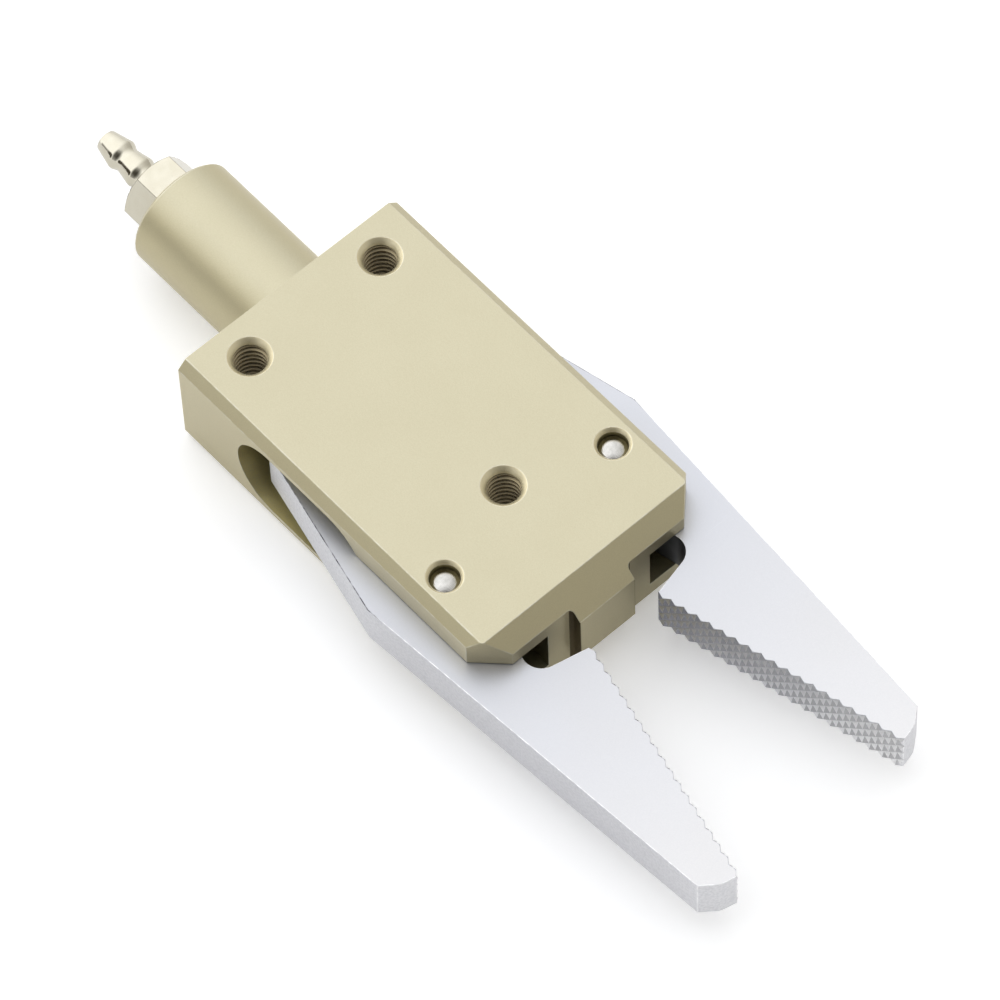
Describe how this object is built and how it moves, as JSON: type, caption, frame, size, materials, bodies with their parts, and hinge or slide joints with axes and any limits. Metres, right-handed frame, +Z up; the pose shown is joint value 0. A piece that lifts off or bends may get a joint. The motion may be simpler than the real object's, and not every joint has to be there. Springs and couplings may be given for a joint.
{
  "type": "pneumatic mini gripper",
  "caption": "Small single-acting pneumatic gripper: a flat block with a round clamping shank, pivoted jaws with diamond-cut faces, and a rear hose barb.",
  "frame": {"origin": "on the axis of the clamping shank, at the rear face of the block", "axes": "+X along the shank's axis to the jaw tips, +Y to the left jaw, +Z up through the top plate"},
  "size_m": [0.1027, 0.0342, 0.0132],
  "materials": {
    "anodised_aluminium": "matte champagne anodising over a fine blasted surface",
    "plated_steel": "satin zinc plating",
    "pin_steel": "ground and hardened, domed ends",
    "nickel_plate": "bright nickel plating over brass",
    "plain_aluminium": "turned",
    "hard_steel": "hardened and ground",
    "spring_steel": "drawn wire",
    "bush_bronze": "sintered bronze",
    "seal_rubber": "black nitrile rubber",
    "guide_plastic": "filled fluoroplastic",
    "washer_fibre": "fibre washer"
  },
  "bodies": {
    "housing": {"gripper_body": "anodised_aluminium", "rear_plug": "plain_aluminium", "rear_plug_o_ring": "seal_rubber", "barb_fitting": "nickel_plate", "fitting_seal_washer": "washer_fibre", "piston_bumper": "seal_rubber", "rod_guide_bush": "bush_bronze", "return_spring": "spring_steel", "pivot_pin_left": "pin_steel", "pivot_pin_right": "pin_steel", "opening_spring": "spring_steel"},
    "drive": {"piston": "plain_aluminium", "piston_seal": "seal_rubber", "piston_guide_ring": "guide_plastic", "piston_nut": "pin_steel", "piston_rod": "hard_steel", "wedge_nose": "hard_steel", "wedge_cross_pin": "pin_steel"},
    "jaw_left": {"jaw_left": "plated_steel"},
    "jaw_right": {"jaw_right": "plated_steel"}
  },
  "joints": [
    {"name": "jaw_left_pivot", "type": "hinge", "parent": "housing", "child": "jaw_left", "pos_m": [0.03475, 0.0107, 0], "axis": [0, 0, -1], "range_deg": [0, 14.4], "stiffness_Nm_per_rad": 0.005, "deforming": ["opening_spring"]},
    {"name": "jaw_right_pivot", "type": "hinge", "parent": "housing", "child": "jaw_right", "pos_m": [0.03475, -0.0107, 0], "axis": [0, 0, 1], "range_deg": [0, 14.4], "stiffness_Nm_per_rad": 0.005},
    {"name": "piston_slide", "type": "slide", "parent": "housing", "child": "drive", "axis": [1, 0, 0], "range_m": [0, 0.00514], "deforming": ["return_spring"]}
  ],
  "couplings": [
    {"joint": "jaw_right_pivot", "follows": "jaw_left_pivot", "ratio": 1},
    {"joint": "piston_slide", "follows": "jaw_left_pivot", "m_per_rad": 0.020424}
  ]
}
